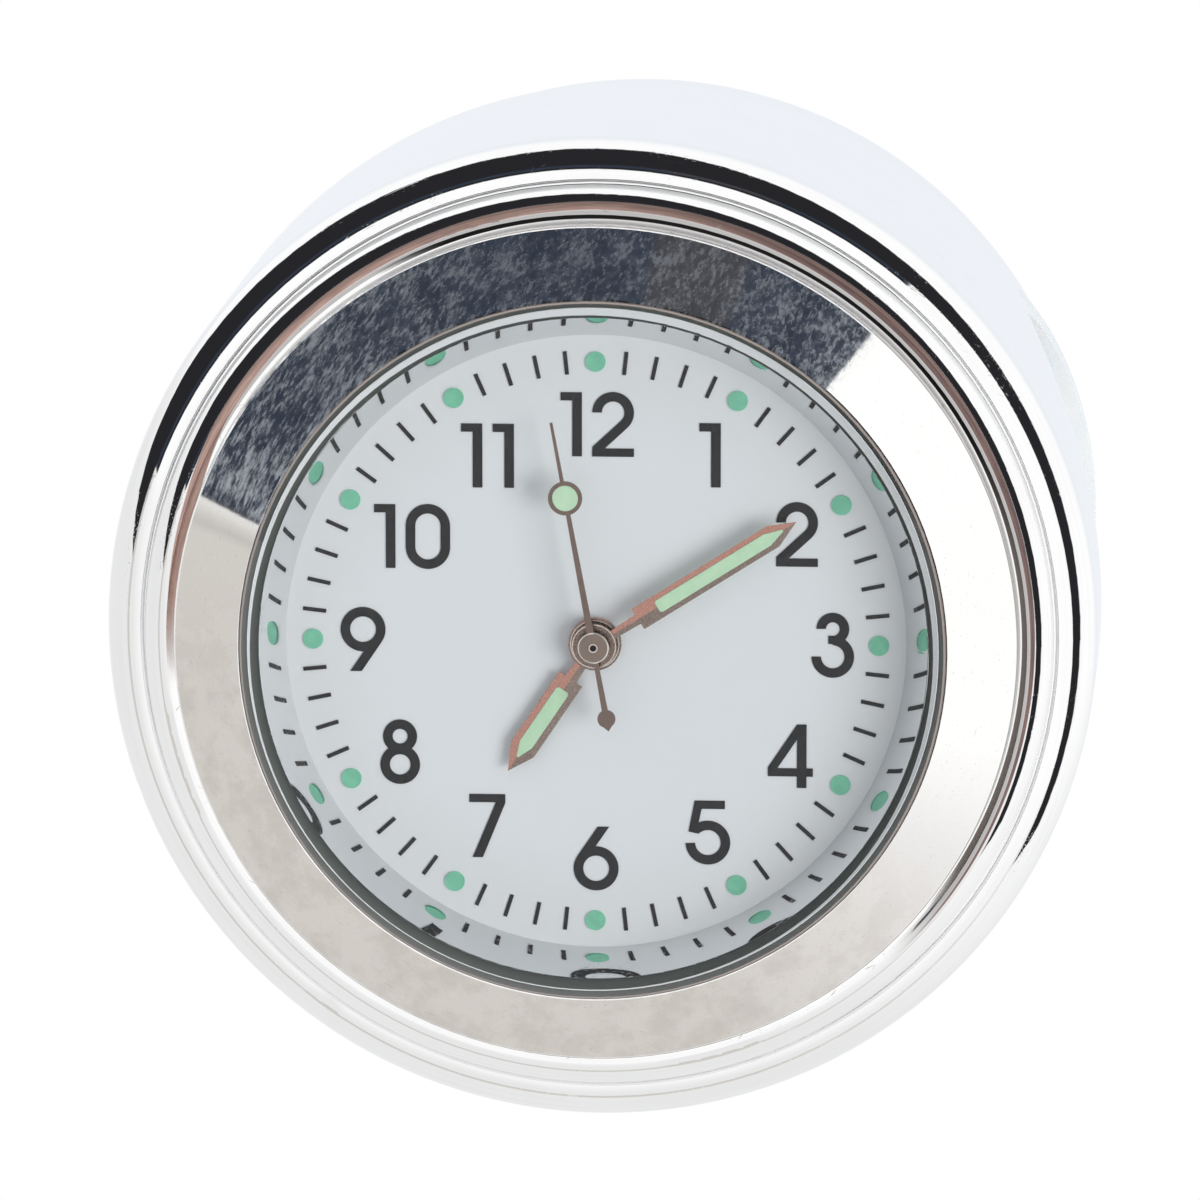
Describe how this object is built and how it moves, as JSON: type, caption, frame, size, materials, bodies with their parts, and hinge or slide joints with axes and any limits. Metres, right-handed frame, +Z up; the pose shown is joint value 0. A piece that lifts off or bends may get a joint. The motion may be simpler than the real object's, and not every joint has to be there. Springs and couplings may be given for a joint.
{
  "type": "handlebar clock",
  "caption": "Round chrome quartz clock with a glazed luminous dial, held in a deep drum that a screwed cap clamps on a handlebar; hands, wheels, crown and clamp move.",
  "frame": {"origin": "centre of the bar bore, on the axis of the handlebar", "axes": "+X along the handlebar, -Y the way the dial faces, +Z up, 12 o'clock on top"},
  "size_m": [0.0428, 0.0423, 0.0428],
  "materials": {
    "housing_chrome": "polished",
    "liner_plastic": "smooth, slightly milky",
    "screw_steel": "satin",
    "case_chrome": "polished, finely scratched",
    "crystal_glass": "clear",
    "gasket_nylon": "smooth",
    "dial_paint": "satin, pale blue grey",
    "dial_ink": "printed charcoal ink",
    "dot_lume": "raised green luminous paint",
    "case_back_steel": "circular brushed",
    "black_rubber": "matte",
    "hand_metal": "polished, rose brown",
    "hand_lume": "pale green luminous paint",
    "holder_plastic": "moulded",
    "plate_brass": "grained",
    "wheel_brass": "polished",
    "small_steel": "polished",
    "magnet_dark": "ground",
    "soft_iron": "annealed sheet",
    "copper_wire": "enamelled copper wire",
    "board_green": "solder mask",
    "can_metal": "drawn",
    "chip_black": "epoxy",
    "cell_steel": "nickel plated",
    "crown_chrome": "polished"
  },
  "bodies": {
    "housing_body": {"housing": "housing_chrome", "liner_front": "liner_plastic"},
    "cap_body": {"clamp_cap": "housing_chrome", "liner_rear": "liner_plastic"},
    "screw_upper_body": {"clamp_screw_upper": "screw_steel"},
    "screw_lower_body": {"clamp_screw_lower": "screw_steel"},
    "watch_body": {"watch_case": "case_chrome", "crystal": "crystal_glass", "crystal_gasket": "gasket_nylon", "rehaut_ring": "case_chrome", "dial": "dial_paint", "dial_print": "dial_ink", "dial_dots": "dot_lume", "case_back": "case_back_steel", "back_gasket": "black_rubber", "seal_ring": "black_rubber", "movement_holder": "holder_plastic", "main_plate": "plate_brass", "train_bridge": "plate_brass", "bridge_screws": "small_steel", "dial_washer": "plate_brass", "stator": "soft_iron", "coil_core": "soft_iron", "coil_winding": "copper_wire", "coil_screws": "small_steel", "circuit_board": "board_green", "board_screws": "small_steel", "quartz_can": "can_metal", "timing_chip": "chip_black", "battery": "cell_steel", "battery_clip": "small_steel", "clip_screw": "small_steel", "crown_tube": "small_steel"},
    "hour_body": {"hour_hand": "hand_metal", "hour_lume": "hand_lume", "hour_wheel": "wheel_brass"},
    "minute_body": {"minute_hand": "hand_metal", "minute_lume": "hand_lume", "cannon_pinion": "small_steel", "centre_wheel": "wheel_brass"},
    "second_body": {"second_hand": "hand_metal", "second_lume": "hand_lume", "fourth_wheel": "wheel_brass"},
    "third_body": {"third_wheel": "wheel_brass"},
    "intermediate_body": {"intermediate_wheel": "wheel_brass"},
    "rotor_body": {"rotor": "magnet_dark"},
    "minute_wheel_body": {"minute_wheel": "wheel_brass"},
    "setting_wheel_body": {"setting_wheel": "wheel_brass"},
    "crown_slide_body": {"crown_gasket": "black_rubber"},
    "crown_body": {"crown": "crown_chrome", "stem": "small_steel"},
    "yoke_body": {"yoke": "small_steel"},
    "clutch_body": {"clutch_wheel": "wheel_brass"},
    "lever_body": {"setting_lever": "small_steel"}
  },
  "joints": [
    {"name": "insert_pull", "type": "slide", "parent": "housing_body", "child": "watch_body", "axis": [0, -1, 0], "range_m": [0, 0.02]},
    {"name": "cap_release", "type": "slide", "parent": "housing_body", "child": "cap_body", "axis": [0, 1, 0], "range_m": [0, 0.01]},
    {"name": "screw_upper_turn", "type": "hinge", "parent": "cap_body", "child": "screw_upper_body", "pos_m": [0, 0, 0.01653], "axis": [0, 1, 0], "range_deg": [0, 7200.1]},
    {"name": "screw_lower_turn", "type": "hinge", "parent": "cap_body", "child": "screw_lower_body", "pos_m": [0, 0, -0.01653], "axis": [0, 1, 0], "range_deg": [0, 7200.1]},
    {"name": "second_turn", "type": "hinge", "parent": "watch_body", "child": "second_body", "pos_m": [0, -0.021, 0], "axis": [0, 1, 0], "continuous": true},
    {"name": "minute_turn", "type": "hinge", "parent": "watch_body", "child": "minute_body", "pos_m": [0, -0.022, 0], "axis": [0, 1, 0], "continuous": true},
    {"name": "hour_turn", "type": "hinge", "parent": "watch_body", "child": "hour_body", "pos_m": [0, -0.0224, 0], "axis": [0, 1, 0], "continuous": true},
    {"name": "third_turn", "type": "hinge", "parent": "watch_body", "child": "third_body", "pos_m": [-0.00068, -0.019, 0.00384], "axis": [0, 1, 0], "continuous": true},
    {"name": "intermediate_turn", "type": "hinge", "parent": "watch_body", "child": "intermediate_body", "pos_m": [-0.0027, -0.0185, -0.00322], "axis": [0, 1, 0], "continuous": true},
    {"name": "rotor_turn", "type": "hinge", "parent": "watch_body", "child": "rotor_body", "pos_m": [-0.00552, -0.019, -0.00424], "axis": [0, 1, 0], "continuous": true},
    {"name": "minute_wheel_turn", "type": "hinge", "parent": "watch_body", "child": "minute_wheel_body", "pos_m": [0.003, -0.0212, 0], "axis": [0, 1, 0], "continuous": true},
    {"name": "setting_wheel_turn", "type": "hinge", "parent": "watch_body", "child": "setting_wheel_body", "pos_m": [0.0065, -0.0211, 0], "axis": [0, 1, 0], "continuous": true},
    {"name": "crown_pull", "type": "slide", "parent": "watch_body", "child": "crown_slide_body", "axis": [1, 0, 0], "range_m": [0, 0.0007]},
    {"name": "crown_turn", "type": "hinge", "parent": "crown_slide_body", "child": "crown_body", "pos_m": [0.012, -0.0195, 0], "axis": [1, 0, 0], "continuous": true},
    {"name": "lever_swing", "type": "hinge", "parent": "watch_body", "child": "lever_body", "pos_m": [0.0098, -0.0189, -0.003], "axis": [0, 1, 0], "range_deg": [0, 13.6]},
    {"name": "yoke_slide", "type": "slide", "parent": "watch_body", "child": "yoke_body", "axis": [-1, 0, 0], "range_m": [0, 0.00035]},
    {"name": "clutch_turn", "type": "hinge", "parent": "yoke_body", "child": "clutch_body", "pos_m": [0.008, -0.0195, 0], "axis": [1, 0, 0], "continuous": true}
  ],
  "couplings": [
    {"joint": "screw_upper_turn", "follows": "cap_release", "rad_per_m": 12566},
    {"joint": "screw_lower_turn", "follows": "cap_release", "rad_per_m": 12566},
    {"joint": "third_turn", "follows": "second_turn", "ratio": -0.13333},
    {"joint": "minute_turn", "follows": "second_turn", "ratio": 0.016667},
    {"joint": "minute_wheel_turn", "follows": "second_turn", "ratio": -0.0055556},
    {"joint": "hour_turn", "follows": "second_turn", "ratio": 0.0013889},
    {"joint": "setting_wheel_turn", "follows": "second_turn", "ratio": 0.01},
    {"joint": "intermediate_turn", "follows": "second_turn", "ratio": -6},
    {"joint": "rotor_turn", "follows": "second_turn", "ratio": 30},
    {"joint": "lever_swing", "follows": "crown_pull", "rad_per_m": 336.43},
    {"joint": "yoke_slide", "follows": "crown_pull", "ratio": 0.5},
    {"joint": "clutch_turn", "follows": "crown_turn", "ratio": 1}
  ]
}
